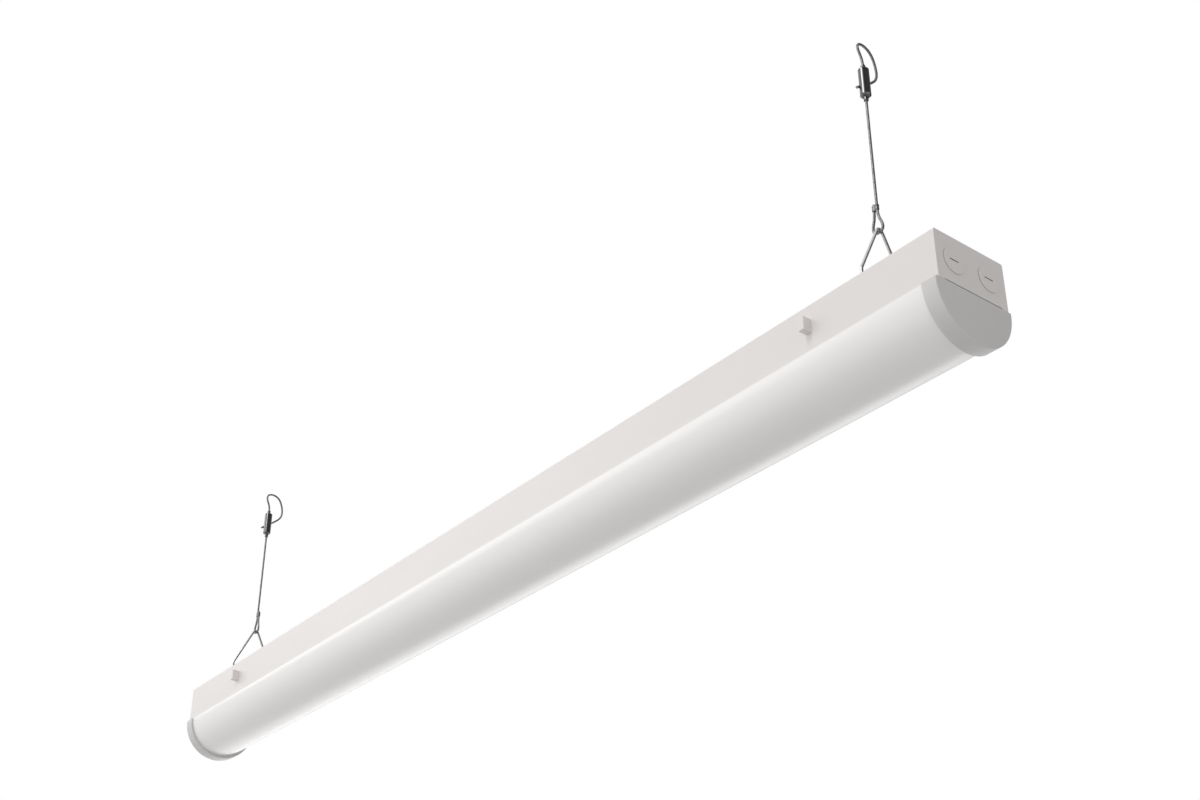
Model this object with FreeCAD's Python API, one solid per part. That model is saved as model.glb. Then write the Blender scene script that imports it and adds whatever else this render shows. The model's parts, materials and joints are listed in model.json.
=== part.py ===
"""Hanging shop light: a sheet-steel channel with a half-round opal lens, hung on two looped steel cables.

Millimetres, +Z up. The origin is the centre of the channel's back (top) face, X runs along the light.
Each function below makes one piece, or one group of equal pieces, of the light.
"""
import FreeCAD, Part
import math
import os

V = FreeCAD.Vector

# ---- driving dimensions: housing -------------------------------------------------------------
LENGTH = 1219.0              # over the end plates, a nominal 48 inches
WIDTH = 76.0                 # over the channel's sides
CHANNEL_HEIGHT = 42.0        # back face to the channel's mouth
SHEET = 0.8                  # steel sheet of channel, end plates and tray
FOLD_RADIUS = 1.6            # outside radius of the channel's folds
LIP = 6.0                    # return lips along the channel's mouth
END_FLANGE = 9.0             # flanges of an end plate, folded into the channel
KNOCKOUT_DIAMETER = 22.2     # trade size 1/2 inch
KNOCKOUT_SPACING = 37.8      # between the two knockouts of an end plate
KNOCKOUT_PROUD = 0.6         # a half-sheared knockout stands this far out of its face
PRY_SLOT_LENGTH = 9.5
PRY_SLOT_WIDTH = 0.8
MOUNT_HOLE_DIAMETER = 7.2    # surface-mounting holes in the back
MOUNT_HOLE_INSET = 152.3     # from the ends of the light, 36 inches between the holes
STUD_INSET = 127.5           # catch studs on the channel's sides, from the ends of the light
STUD_WIDTH = 6.0
STUD_HEIGHT = 11.2
STUD_REACH = 8.5
STUD_FOOT_Z = -25.6          # underside of a catch stud

# ---- driving dimensions: lens and end caps ---------------------------------------------------
LENS_PROUD = 1.5             # half-round lens, proud of the channel's sides
LENS_WALL = 1.5
LENS_LIP = 4.5               # inward lips that hold the tray
LENS_RIB = 1.0               # thickness of the lower rib of the tray groove
CAP_PROUD = 1.8              # end cap, proud of the lens
CAP_DROP = 1.5               # upright part of the cap's sides, below the mouth
CAP_SKIRT = 13.5             # length of the cap's skirt, end face included
CAP_FACE = 1.6               # thickness of the cap's end face
CAP_EDGE_RADIUS = 0.8
CAP_CORNER_RADIUS = 1.2

# ---- driving dimensions: light engine --------------------------------------------------------
TRAY_EDGE_PLAY = 1.7         # tray edge to the lens's wall, each side
WEB_INSET = 7.2              # tray web inside the channel's mouth, each side
TRAY_DROP = 4.2              # web below the tray's edge flanges
TRAY_END_SETBACK = 18.0      # tray end to the end of the light
BOARD_COUNT = 4
BOARD_GAP = 9.75             # between boards
BOARD_WIDTH = 24.0
BOARD_THICKNESS = 1.2
CHIPS_PER_BOARD = 18
CHIP_LENGTH = 3.0
CHIP_WIDTH = 2.8
CHIP_HEIGHT = 0.7
RIVET_HEAD_DIAMETER = 5.0
RIVET_HEAD_HEIGHT = 1.0
RIVET_SHANK = 3.0
RIVET_INSET = 10.0           # board rivets, from the ends of their board
DRIVER_END_GAP = 4.0         # driver's ears to the rivets of the board behind them
DRIVER_WIDTH = 30.0
DRIVER_HEIGHT = 24.0
DRIVER_BOARD = 1             # the driver lies behind this board, counted from 0 at the left
DRIVER_EAR = 11.0            # mounting ear at each end of the driver
DRIVER_WALL = 0.6
WIRE_EXIT_WIDTH = 10.0       # openings for leads at the driver's ends
WIRE_EXIT_HEIGHT = 6.0
TERMINAL_LENGTH = 16.0
TERMINAL_WIDTH = 20.0
TERMINAL_HEIGHT = 12.0
TERMINAL_X = 62.0
TERMINAL_PORTS = 3
TERMINAL_SHOULDER = 0.55     # height of the low side, as a share of the whole
TERMINAL_PORT = 0.3          # radius of a port, as a share of the ports' pitch
CLIP_LENGTH = 14.0           # catch springs on the tray, along the light
CLIP_STRIP = 0.8             # spring strip thickness
CLIP_HEEL = 3.0              # from the edge of the tray's web to the arm's foot
CLIP_BULGE = 5.0             # the arm's bulge beside its waist
CLIP_RAMP_BELOW = 2.6        # the bulge's slopes below and above the channel's lips
CLIP_RAMP_ABOVE = 7.0
CLIP_TIP_RISE = 15.0         # tip of the arm above the lips
CLIP_TIP_LEAN = 4.0
GROUND_SCREW_X = 90.0
GROUND_SCREW_HEAD = 8.0      # across the flats
GROUND_SCREW_HEAD_HEIGHT = 3.0
GROUND_SCREW_THREAD = 4.2
GROUND_WASHER = 0.8          # washer face under the head
GROUND_WASHER_DIAMETER = 10.4
THREAD_PLAY = 0.05           # ground screw in its hole, all round

# ---- driving dimensions: suspension ----------------------------------------------------------
HANGER_INSET = 80.8          # hangers, from the ends of the light
HOOK_WIRE = 2.7
HOOK_FOOT_SPREAD = 50.0      # between the two legs of a V-hook
HOOK_FOOT_LENGTH = 9.0       # foot bent outward under the back
HOOK_FOOT_BEND = 1.6
HOOK_SHOULDER_Z = 15.2       # where the upright legs lean inward
HOOK_SHOULDER_BEND = 8.0
HOOK_APEX_Z = 62.3           # wire centre at the top of the V
HOOK_APEX_BEND = 3.0
HOOK_SWING = 55.0            # degrees each way
CABLE = 2.4                  # wire rope diameter, 3/32 inch
FERRULE_Z = 80.8
FERRULE_HEIGHT = 5.6
FERRULE_WALL = 0.6
GRIP_Z = 196.1               # underside of the gripper's barrel
GRIP_HEIGHT = 29.6
GRIP_DIAMETER = 9.4
GRIP_CHAMFER = 1.4
NOSE_DIAMETER = 4.2          # fixed nose below and release plunger above the barrel
NOSE_HEIGHT = 4.2
PLUNGER_PROUD = 3.8          # plunger above the barrel
PLUNGER_TRAVEL = 2.5
PLUNGER_COLLAR = 6.0         # collar diameter inside the barrel
PLUNGER_COLLAR_HEIGHT = 1.6
PLUNGER_RIM = 0.4            # chamfer of the plunger's top
JAW_WALL = 0.9               # gripping jaws, at their thin end
JAW_HEIGHT = 3.8
JAW_SPLIT = 0.5              # between the two jaws
BORE_PLAY = 0.15             # cable to bore, all round
RETURN_OFFSET = 2.9          # the cable's return bore beside the straight one
RETURN_HEIGHT = 13.6         # where the return bore crosses the middle of the barrel, above its underside
RETURN_SLOPE = 14.0 / 18.9   # fall of the return bore, per unit of its run across the barrel

# ---- clearances ------------------------------------------------------------------------------
RUNNING_GAP = 0.3            # between pieces that move past each other
SEAT_GAP = 0.2               # between pieces that slip together
MOUTH_GAP = 0.1              # closed cover below the channel's mouth
CRIMP = 0.04                 # squeeze of a crimped sleeve on its cable
PAST = 1.0                   # how far a cut runs past the face it opens
NEAR = 0.01                  # tolerance when edges are picked by their place

# ---- derived places --------------------------------------------------------------------------
HALF_LENGTH = LENGTH / 2
HALF_WIDTH = WIDTH / 2
HANGER_X = HALF_LENGTH - HANGER_INSET
STUD_X = HALF_LENGTH - STUD_INSET
MOUNT_HOLE_X = HALF_LENGTH - MOUNT_HOLE_INSET
LENS_RADIUS = HALF_WIDTH + LENS_PROUD
CAP_RADIUS = LENS_RADIUS + CAP_PROUD
MOUTH_Z = -CHANNEL_HEIGHT
MOUTH_HALF = HALF_WIDTH - SHEET - LIP
TRAY_HALF_WIDTH = LENS_RADIUS - LENS_WALL - TRAY_EDGE_PLAY
TRAY_WEB_HALF_WIDTH = MOUTH_HALF - WEB_INSET
LENS_TOP_Z = MOUTH_Z - MOUTH_GAP
GROOVE_TOP_Z = LENS_TOP_Z - LENS_WALL
TRAY_TOP_Z = GROOVE_TOP_Z - SEAT_GAP
GROOVE_FOOT_Z = TRAY_TOP_Z - SHEET - SEAT_GAP
WEB_TOP_Z = TRAY_TOP_Z - TRAY_DROP
WEB_FOOT_Z = WEB_TOP_Z - SHEET
TRAY_HALF_LENGTH = HALF_LENGTH - TRAY_END_SETBACK
BOARD_PITCH = 2 * TRAY_HALF_LENGTH / BOARD_COUNT
BOARD_LENGTH = BOARD_PITCH - BOARD_GAP
RIVET_REACH = BOARD_LENGTH / 2 - RIVET_INSET
DRIVER_X = (DRIVER_BOARD - (BOARD_COUNT - 1) / 2) * BOARD_PITCH
DRIVER_LENGTH = 2 * (RIVET_REACH - RIVET_HEAD_DIAMETER / 2 - DRIVER_END_GAP - DRIVER_EAR)
FOOT_WIRE_Z = -SHEET - RUNNING_GAP - HOOK_WIRE / 2
CAP_INNER = LENS_RADIUS + SEAT_GAP
EYE_FOOT_Z = HOOK_APEX_Z - (HOOK_WIRE + CABLE) / 2 - RUNNING_GAP
GRIP_TOP_Z = GRIP_Z + GRIP_HEIGHT
RETURN_Z = GRIP_Z + RETURN_HEIGHT

# Route of a cable about its hanger's vertical axis, chosen by eye from the way the cable curls.
# The eye's points are (towards the light's end, across, up), so the two eyes are mirror images.
EYE_ROUTE = [(-3.1, 0.0, 87.4), (-3.1, 0.0, 75.6), (-6.2, 0.0, 66.6), (-5.2, 0.0, EYE_FOOT_Z),
             (3.4, 0.0, EYE_FOOT_Z), (4.6, 0.0, 65.2), (0.0, 0.0, 76.0)]
# The loop's points are (towards the left end, across, up), because both grippers face the same way.
TOP_ROUTE = [(0.0, 0.0, 235.8), (0.1, -4.8, 245.8), (0.5, -3.4, 252.4), (1.2, 4.4, 254.6),
             (1.9, 12.2, 250.4), (2.5, 15.8, 239.4), (2.8, 15.6, 226.6),
             (RETURN_OFFSET, 10.0, RETURN_Z + 10.0 * RETURN_SLOPE),
             (RETURN_OFFSET, -9.0, RETURN_Z - 9.0 * RETURN_SLOPE)]


# ---- small helpers ---------------------------------------------------------------------------
def block(x0, x1, y0, y1, z0, z1):
    """A box between two corners, given low then high on each axis."""
    return Part.makeBox(x1 - x0, y1 - y0, z1 - z0, V(x0, y0, z0))


def rod(radius, height, base, direction=V(0, 0, 1)):
    """A cylinder from base along direction."""
    return Part.makeCylinder(radius, height, base, direction)


def prism(points, x0, x1):
    """A straight extrusion along X of a closed outline of (y, z) points."""
    outline = Part.makePolygon([V(x0, y, z) for y, z in points + points[:1]])
    return Part.Face(outline).extrude(V(x1 - x0, 0, 0))


def mirrored_y(shape):
    """The shape's copy on the other side of the light's middle plane."""
    return shape.mirror(V(0, 0, 0), V(0, 1, 0))


def half_round(radius, x0, x1, top_z, drop=0):
    """A trough under the channel's mouth: round below its centre, upright above it, cut level at top_z."""
    centre_z = MOUTH_Z - drop
    full = rod(radius, x1 - x0, V(x0, 0, centre_z), V(1, 0, 0))
    lower = full.common(block(x0, x1, -radius, radius, centre_z - radius, min(top_z, centre_z)))
    if top_z <= centre_z:
        return lower
    return joined([lower, block(x0, x1, -radius, radius, centre_z, top_z)])


def joined(shapes):
    """One solid from overlapping or touching solids, with the seams between flat faces removed."""
    return shapes[0].fuse(shapes[1:]).removeSplitter()


def group(shapes):
    """Separate equal pieces kept together."""
    return Part.makeCompound(shapes)


def tube(points, diameter, radii=None, name=""):
    """A round wire along straight runs joined by tangent arcs.

    An arc's radius is 0.45 of the shorter run over the tangent of half the turn, unless radii
    names one for that corner.
    """
    corners = [V(*p) for p in points]
    edges, start, printed = [], corners[0], []
    for i in range(1, len(corners) - 1):
        before, here, after = corners[i - 1], corners[i], corners[i + 1]
        arriving = (here - before).normalize()
        leaving = (after - here).normalize()
        half_turn = arriving.getAngle(leaving) / 2
        shorter = min((here - before).Length, (after - here).Length)
        radius = (radii or {}).get(i, 0.45 * shorter / math.tan(half_turn))
        setback = radius * math.tan(half_turn)
        printed.append(round(radius, 1))
        arc_start = here - arriving * setback
        arc_end = here + leaving * setback
        inward = (leaving - arriving).normalize()
        middle = here + inward * (radius / math.cos(half_turn) - radius)
        edges += [Part.LineSegment(start, arc_start).toShape(), Part.Arc(arc_start, middle, arc_end).toShape()]
        start = arc_end
    edges.append(Part.LineSegment(start, corners[-1]).toShape())
    path = Part.Wire(edges)
    section = Part.Wire(Part.makeCircle(diameter / 2, corners[0], corners[1] - corners[0]))
    solid = path.makePipeShell([section], True, False)
    expected = path.Length * math.pi * diameter ** 2 / 4
    print(f"{name}: length {path.Length:.1f}, radii {printed}, volume ratio {solid.Volume / expected:.4f}")
    return solid


# ---- housing ---------------------------------------------------------------------------------
def rounded_trough(half_width, top_z, foot_z, radius):
    """The outline that a channel's inside or outside fills, its two upper edges rounded."""
    solid = block(-HALF_LENGTH, HALF_LENGTH, -half_width, half_width, foot_z, top_z)
    upper = [e for e in solid.Edges if e.BoundBox.XLength > WIDTH and e.BoundBox.ZMin > top_z - NEAR]
    return solid.makeFillet(radius, upper)


def hook_slot(side, hand):
    """Slot in the back for one leg of a V-hook, long enough for its swing."""
    swing = math.radians(HOOK_SWING)
    reach = -FOOT_WIRE_Z * math.tan(swing) + HOOK_WIRE / 2 / math.cos(swing) + RUNNING_GAP
    wide = HOOK_WIRE / 2 + RUNNING_GAP
    x, y = side * HANGER_X, hand * HOOK_FOOT_SPREAD / 2
    return block(x - reach, x + reach, y - wide, y + wide, -2 * SHEET, SHEET)


def catch_stud(side):
    """Hood pressed out of the channel's side: solid envelope and the hollow behind it."""
    x0 = side * STUD_X - STUD_WIDTH / 2
    inner_y = -HALF_WIDTH
    envelope = block(x0, x0 + STUD_WIDTH, inner_y - STUD_REACH, inner_y + SHEET,
                     STUD_FOOT_Z, STUD_FOOT_Z + STUD_HEIGHT)
    upright = [e for e in envelope.Edges
               if e.BoundBox.ZLength > STUD_HEIGHT / 2 and e.BoundBox.YMax < inner_y - STUD_REACH + NEAR]
    envelope = envelope.makeFillet(SHEET, upright)
    hollow = block(x0 + SHEET, x0 + STUD_WIDTH - SHEET, inner_y - STUD_REACH + SHEET, inner_y + 2 * SHEET,
                   STUD_FOOT_Z + SHEET, STUD_FOOT_Z + STUD_HEIGHT - SHEET)
    return envelope, hollow


def make_channel():
    """Folded channel: back, two sides, return lips, hook slots, mounting holes and catch studs."""
    outer = rounded_trough(HALF_WIDTH, 0, MOUTH_Z, FOLD_RADIUS)
    inner = rounded_trough(HALF_WIDTH - SHEET, -SHEET, MOUTH_Z + SHEET, FOLD_RADIUS - SHEET)
    mouth = block(-HALF_LENGTH, HALF_LENGTH, -MOUTH_HALF, MOUTH_HALF, MOUTH_Z, MOUTH_Z + SHEET)
    folded = outer.cut([inner, mouth])
    studs, hollows = [], []
    for side in (-1, 1):
        envelope, hollow = catch_stud(side)
        studs += [envelope, mirrored_y(envelope)]
        hollows += [hollow, mirrored_y(hollow)]
    holes = [hook_slot(side, hand) for side in (-1, 1) for hand in (-1, 1)]
    holes += [rod(MOUNT_HOLE_DIAMETER / 2, 4 * SHEET, V(side * MOUNT_HOLE_X, 0, -2 * SHEET))
              for side in (-1, 1)]
    holes.append(rod(KNOCKOUT_DIAMETER / 2, 4 * SHEET, V(0, 0, -2 * SHEET)))
    holes.append(rod(GROUND_SCREW_THREAD / 2, 4 * SHEET, V(GROUND_SCREW_X, 0, -2 * SHEET)))
    return joined([folded] + studs).cut(hollows + holes)


def knockout(centre_y, centre_z):
    """Half-sheared knockout: the slug that stands proud, and what is cut behind it and for its pry slot."""
    radius, along = KNOCKOUT_DIAMETER / 2, V(1, 0, 0)
    back = HALF_LENGTH - SHEET
    slug = rod(radius, SHEET, V(back + KNOCKOUT_PROUD, centre_y, centre_z), along)
    recess = rod(radius, KNOCKOUT_PROUD + PAST, V(back - PAST, centre_y, centre_z), along)
    slot = block(back - PAST, HALF_LENGTH + PAST, centre_y - PRY_SLOT_LENGTH / 2, centre_y + PRY_SLOT_LENGTH / 2,
                 centre_z - PRY_SLOT_WIDTH / 2, centre_z + PRY_SLOT_WIDTH / 2)
    return slug, [recess, slot]


def make_end_plate(side):
    """End plate that closes the channel: a face with two knockouts and three folded flanges."""
    half = HALF_WIDTH - SHEET
    top_z, foot_z = -SHEET, MOUTH_Z + SHEET
    shell = block(HALF_LENGTH - END_FLANGE, HALF_LENGTH, -half, half, foot_z, top_z)
    upper = [e for e in shell.Edges if e.BoundBox.XLength > END_FLANGE / 2 and e.BoundBox.ZMin > top_z - NEAR]
    shell = shell.makeFillet(FOLD_RADIUS - SHEET, upper)
    hollow = block(HALF_LENGTH - END_FLANGE, HALF_LENGTH - SHEET, -half + SHEET, half - SHEET,
                   foot_z - SHEET, top_z - SHEET)
    slugs, cuts = [], []
    for hand in (-1, 1):
        slug, openings = knockout(hand * KNOCKOUT_SPACING / 2, MOUTH_Z / 2)
        slugs.append(slug)
        cuts += openings
    plate = joined([shell.cut(hollow)] + slugs).cut(cuts)
    return plate if side > 0 else plate.mirror(V(0, 0, 0), V(1, 0, 0))


def make_ground_screw():
    """Bonding screw under the back: a washer-faced hex head and its shank."""
    face_z = -SHEET - GROUND_WASHER
    washer = rod(GROUND_WASHER_DIAMETER / 2, GROUND_WASHER, V(GROUND_SCREW_X, 0, face_z))
    corner = GROUND_SCREW_HEAD / math.sqrt(3)
    turns = [math.radians(60 * k) for k in range(7)]
    outline = [V(GROUND_SCREW_X + corner * math.cos(t), corner * math.sin(t), face_z) for t in turns]
    head = Part.Face(Part.makePolygon(outline)).extrude(V(0, 0, -GROUND_SCREW_HEAD_HEIGHT))
    shank = rod(GROUND_SCREW_THREAD / 2 - THREAD_PLAY, SHEET, V(GROUND_SCREW_X, 0, -SHEET))
    return joined([washer, head, shank])


# ---- lens and end caps -----------------------------------------------------------------------
def make_lens():
    """Opal half-round lens with an inward lip and a rib along each edge, the groove for the tray."""
    x0 = -(HALF_LENGTH - CAP_FACE - SEAT_GAP)
    x1 = -x0
    wall = half_round(LENS_RADIUS, x0, x1, LENS_TOP_Z).cut(
        half_round(LENS_RADIUS - LENS_WALL, x0, x1, LENS_TOP_Z))
    lips = []
    for hand in (-1, 1):
        outer = hand * (LENS_RADIUS - LENS_WALL / 2)
        inner = hand * (LENS_RADIUS - LENS_WALL - LENS_LIP)
        y0, y1 = min(outer, inner), max(outer, inner)
        lips.append(block(x0, x1, y0, y1, GROOVE_TOP_Z, LENS_TOP_Z))
        lips.append(block(x0, x1, y0, y1, GROOVE_FOOT_Z - LENS_RIB, GROOVE_FOOT_Z))
    shape = joined([wall] + lips)
    return shape.common(half_round(LENS_RADIUS, x0, x1, LENS_TOP_Z))


def make_lens_cap(side):
    """D-shaped end cap: a full end face with a skirt that slips over the lens."""
    x_face = HALF_LENGTH
    x_rim = HALF_LENGTH - CAP_SKIRT
    body = half_round(CAP_RADIUS, x_rim, x_face, LENS_TOP_Z, CAP_DROP)
    corners = [e for e in body.Edges if e.BoundBox.XLength > CAP_SKIRT / 2 and e.BoundBox.ZMin > LENS_TOP_Z - NEAR]
    body = body.makeFillet(CAP_CORNER_RADIUS, corners)
    face_edges = [e for e in body.Edges if e.BoundBox.XMin > x_face - NEAR]
    body = body.makeFillet(CAP_EDGE_RADIUS, face_edges)
    hollow = half_round(CAP_INNER, x_rim - PAST, x_face - CAP_FACE, LENS_TOP_Z + PAST)
    cap = max(body.cut(hollow).Solids, key=lambda s: s.Volume)
    return cap if side > 0 else cap.mirror(V(0, 0, 0), V(1, 0, 0))


# ---- light engine ----------------------------------------------------------------------------
def make_led_tray():
    """Folded tray: edge flanges in the lens's grooves, sloping sides and a lower web."""
    slope_half = TRAY_WEB_HALF_WIDTH + TRAY_DROP
    top = [(TRAY_HALF_WIDTH, TRAY_TOP_Z), (slope_half, TRAY_TOP_Z), (TRAY_WEB_HALF_WIDTH, WEB_TOP_Z)]
    lean = SHEET * math.tan(math.radians(22.5))
    under = [(TRAY_WEB_HALF_WIDTH + lean, WEB_FOOT_Z), (slope_half + lean, TRAY_TOP_Z - SHEET),
             (TRAY_HALF_WIDTH, TRAY_TOP_Z - SHEET)]
    right = top + [(-y, z) for y, z in reversed(top)]
    left = [(-y, z) for y, z in reversed(under)] + under
    tray = prism(right + left, -TRAY_HALF_LENGTH, TRAY_HALF_LENGTH)
    holes = [rod(RIVET_SHANK / 2, 4 * SHEET, V(x, y, WEB_TOP_Z - 2 * SHEET)) for x, y in rivet_places()]
    return tray.cut(holes)


def board_centres():
    """Middle of each board along the light."""
    return [(i - (BOARD_COUNT - 1) / 2) * BOARD_PITCH for i in range(BOARD_COUNT)]


def rivet_places():
    """Rivets that hold the boards, one near each end of a board."""
    return [(x + hand * RIVET_REACH, hand * BOARD_WIDTH / 4) for x in board_centres() for hand in (-1, 1)]


def make_led_board(index):
    """One circuit board under the web, with its rivet holes."""
    x = board_centres()[index]
    board = block(x - BOARD_LENGTH / 2, x + BOARD_LENGTH / 2, -BOARD_WIDTH / 2, BOARD_WIDTH / 2,
                  WEB_FOOT_Z - BOARD_THICKNESS, WEB_FOOT_Z)
    holes = [rod(RIVET_SHANK / 2, 3 * BOARD_THICKNESS, V(px, py, WEB_FOOT_Z - 2 * BOARD_THICKNESS))
             for px, py in rivet_places() if abs(px - x) < BOARD_LENGTH / 2]
    return board.cut(holes)


def make_led_chips(index):
    """The row of light-emitting diodes along one board."""
    x = board_centres()[index]
    pitch = BOARD_LENGTH / CHIPS_PER_BOARD
    top_z = WEB_FOOT_Z - BOARD_THICKNESS
    chips = []
    for k in range(CHIPS_PER_BOARD):
        cx = x + (k - (CHIPS_PER_BOARD - 1) / 2) * pitch
        chips.append(block(cx - CHIP_LENGTH / 2, cx + CHIP_LENGTH / 2, -CHIP_WIDTH / 2, CHIP_WIDTH / 2,
                           top_z - CHIP_HEIGHT, top_z))
    return group(chips)


def rivet(x, y, foot_z, grip, head_above):
    """A shank of length grip that stands on foot_z, with a low tapered head at one end."""
    shank = rod(RIVET_SHANK / 2 - SEAT_GAP / 2, grip, V(x, y, foot_z))
    seat_z, up = (foot_z + grip, 1) if head_above else (foot_z, -1)
    head = Part.makeCone(RIVET_HEAD_DIAMETER / 2, RIVET_HEAD_DIAMETER / 3, RIVET_HEAD_HEIGHT,
                         V(x, y, seat_z), V(0, 0, up))
    return joined([shank, head])


def make_board_rivets():
    """Push rivets through boards and tray, each with its head below the board."""
    under_z = WEB_FOOT_Z - BOARD_THICKNESS
    return group([rivet(x, y, under_z, WEB_TOP_Z - under_z, False) for x, y in rivet_places()])


def driver_screw_places():
    """The two screws in the driver's mounting ears."""
    reach = DRIVER_LENGTH / 2 + DRIVER_EAR / 2
    return [(DRIVER_X + hand * reach, 0.0) for hand in (-1, 1)]


def make_driver_base():
    """Driver base: floor with a mounting ear at each end and two low side walls."""
    x0, x1 = DRIVER_X - DRIVER_LENGTH / 2, DRIVER_X + DRIVER_LENGTH / 2
    half = DRIVER_WIDTH / 2 - DRIVER_WALL
    floor = block(x0 - DRIVER_EAR, x1 + DRIVER_EAR, -half, half, WEB_TOP_Z, WEB_TOP_Z + DRIVER_WALL)
    inside = block(x0 + DRIVER_WALL, x1 - DRIVER_WALL, -half, half, WEB_TOP_Z, WEB_TOP_Z + DRIVER_HEIGHT / 2)
    trough = inside.cut(block(x0, x1, -half + DRIVER_WALL, half - DRIVER_WALL,
                              WEB_TOP_Z + DRIVER_WALL, WEB_TOP_Z + DRIVER_HEIGHT))
    holes = [rod(RIVET_SHANK / 2, DRIVER_WALL + 2 * PAST, V(x, y, WEB_TOP_Z - PAST))
             for x, y in driver_screw_places()]
    return joined([floor, trough]).cut(holes)


def make_driver_cover():
    """Driver cover: an inverted trough over the base, closed at its ends, with wire exits."""
    x0, x1 = DRIVER_X - DRIVER_LENGTH / 2, DRIVER_X + DRIVER_LENGTH / 2
    half = DRIVER_WIDTH / 2
    foot_z = WEB_TOP_Z + DRIVER_WALL
    outer = block(x0, x1, -half, half, foot_z, WEB_TOP_Z + DRIVER_HEIGHT)
    top_edges = [e for e in outer.Edges if e.BoundBox.XLength > DRIVER_WIDTH and e.BoundBox.ZMin > foot_z + NEAR]
    outer = outer.makeFillet(2 * DRIVER_WALL, top_edges)
    inner = block(x0 + DRIVER_WALL, x1 - DRIVER_WALL, -half + DRIVER_WALL, half - DRIVER_WALL,
                  foot_z - PAST, WEB_TOP_Z + DRIVER_HEIGHT - DRIVER_WALL)
    exits = [block(x - PAST, x + PAST, -WIRE_EXIT_WIDTH / 2, WIRE_EXIT_WIDTH / 2,
                   foot_z - PAST, foot_z + WIRE_EXIT_HEIGHT) for x in (x0, x1)]
    return outer.cut([inner] + exits)


def make_driver_screws():
    """Screws down through the driver's ears into the tray's web."""
    return group([rivet(x, y, WEB_TOP_Z, DRIVER_WALL, True) for x, y in driver_screw_places()])


def make_supply_terminal():
    """Push-in terminal block on the tray for the supply leads, its ports in the upright side."""
    half, middle_z = TERMINAL_WIDTH / 2, WEB_TOP_Z + TERMINAL_HEIGHT / 2
    shoulder_z, top_z = WEB_TOP_Z + TERMINAL_HEIGHT * TERMINAL_SHOULDER, WEB_TOP_Z + TERMINAL_HEIGHT
    profile = [(-half, WEB_TOP_Z), (half, WEB_TOP_Z), (half, shoulder_z), (half / 3, top_z), (-half, top_z)]
    body = prism(profile, TERMINAL_X - TERMINAL_LENGTH / 2, TERMINAL_X + TERMINAL_LENGTH / 2)
    pitch = TERMINAL_LENGTH / TERMINAL_PORTS
    places = [TERMINAL_X + (k - (TERMINAL_PORTS - 1) / 2) * pitch for k in range(TERMINAL_PORTS)]
    ports = [rod(pitch * TERMINAL_PORT, half + PAST, V(x, -half - PAST, middle_z), V(0, 1, 0)) for x in places]
    return body.cut(ports)


def make_catch_spring(side):
    """Catch spring: a strip folded to a U, whose arms bulge against the channel's lips."""
    reach = MOUTH_HALF - RUNNING_GAP
    foot_half = TRAY_WEB_HALF_WIDTH - SEAT_GAP
    foot_z = WEB_TOP_Z + CLIP_STRIP / 2
    lip_z = MOUTH_Z + SHEET / 2
    waist = reach - CLIP_BULGE
    centre = [(0.0, foot_z), (foot_half - CLIP_HEEL, foot_z), (waist, lip_z - CLIP_RAMP_BELOW),
              (reach - CLIP_STRIP / 2, lip_z), (waist, lip_z + CLIP_RAMP_ABOVE),
              (waist - CLIP_TIP_LEAN, lip_z + CLIP_TIP_RISE)]
    half = strip_outline(centre, CLIP_STRIP)
    arm = prism(half, side * STUD_X - CLIP_LENGTH / 2, side * STUD_X + CLIP_LENGTH / 2)
    spring = joined([arm, mirrored_y(arm)])
    holes = [rod(RIVET_SHANK / 2, CLIP_STRIP + 2 * PAST, V(x, y, WEB_TOP_Z - PAST))
             for x, y in clip_rivet_places(side)]
    return spring.cut(holes)


def strip_outline(centre, thickness):
    """Closed outline of a strip of even thickness about a bent centre line of (y, z) points."""
    left, right = [], []
    for i, (y, z) in enumerate(centre):
        normals = []
        for a, b in ((i - 1, i), (i, i + 1)):
            if a >= 0 and b < len(centre):
                dy, dz = centre[b][0] - centre[a][0], centre[b][1] - centre[a][1]
                size = math.hypot(dy, dz)
                normals.append((-dz / size, dy / size))
        ny = sum(n[0] for n in normals) / len(normals)
        nz = sum(n[1] for n in normals) / len(normals)
        stretch = thickness / 2 / (ny * ny + nz * nz)
        left.append((y + ny * stretch, z + nz * stretch))
        right.append((y - ny * stretch, z - nz * stretch))
    return left + right[::-1]


def clip_rivet_places(side):
    """Two rivets through a catch spring's foot."""
    return [(side * STUD_X, hand * TRAY_WEB_HALF_WIDTH / 3) for hand in (-1, 1)]


def make_clip_rivets():
    """Rivets of both catch springs: heads on the strip, shanks through it."""
    places = [place for side in (-1, 1) for place in clip_rivet_places(side)]
    return group([rivet(x, y, WEB_TOP_Z, CLIP_STRIP, True) for x, y in places])


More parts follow.
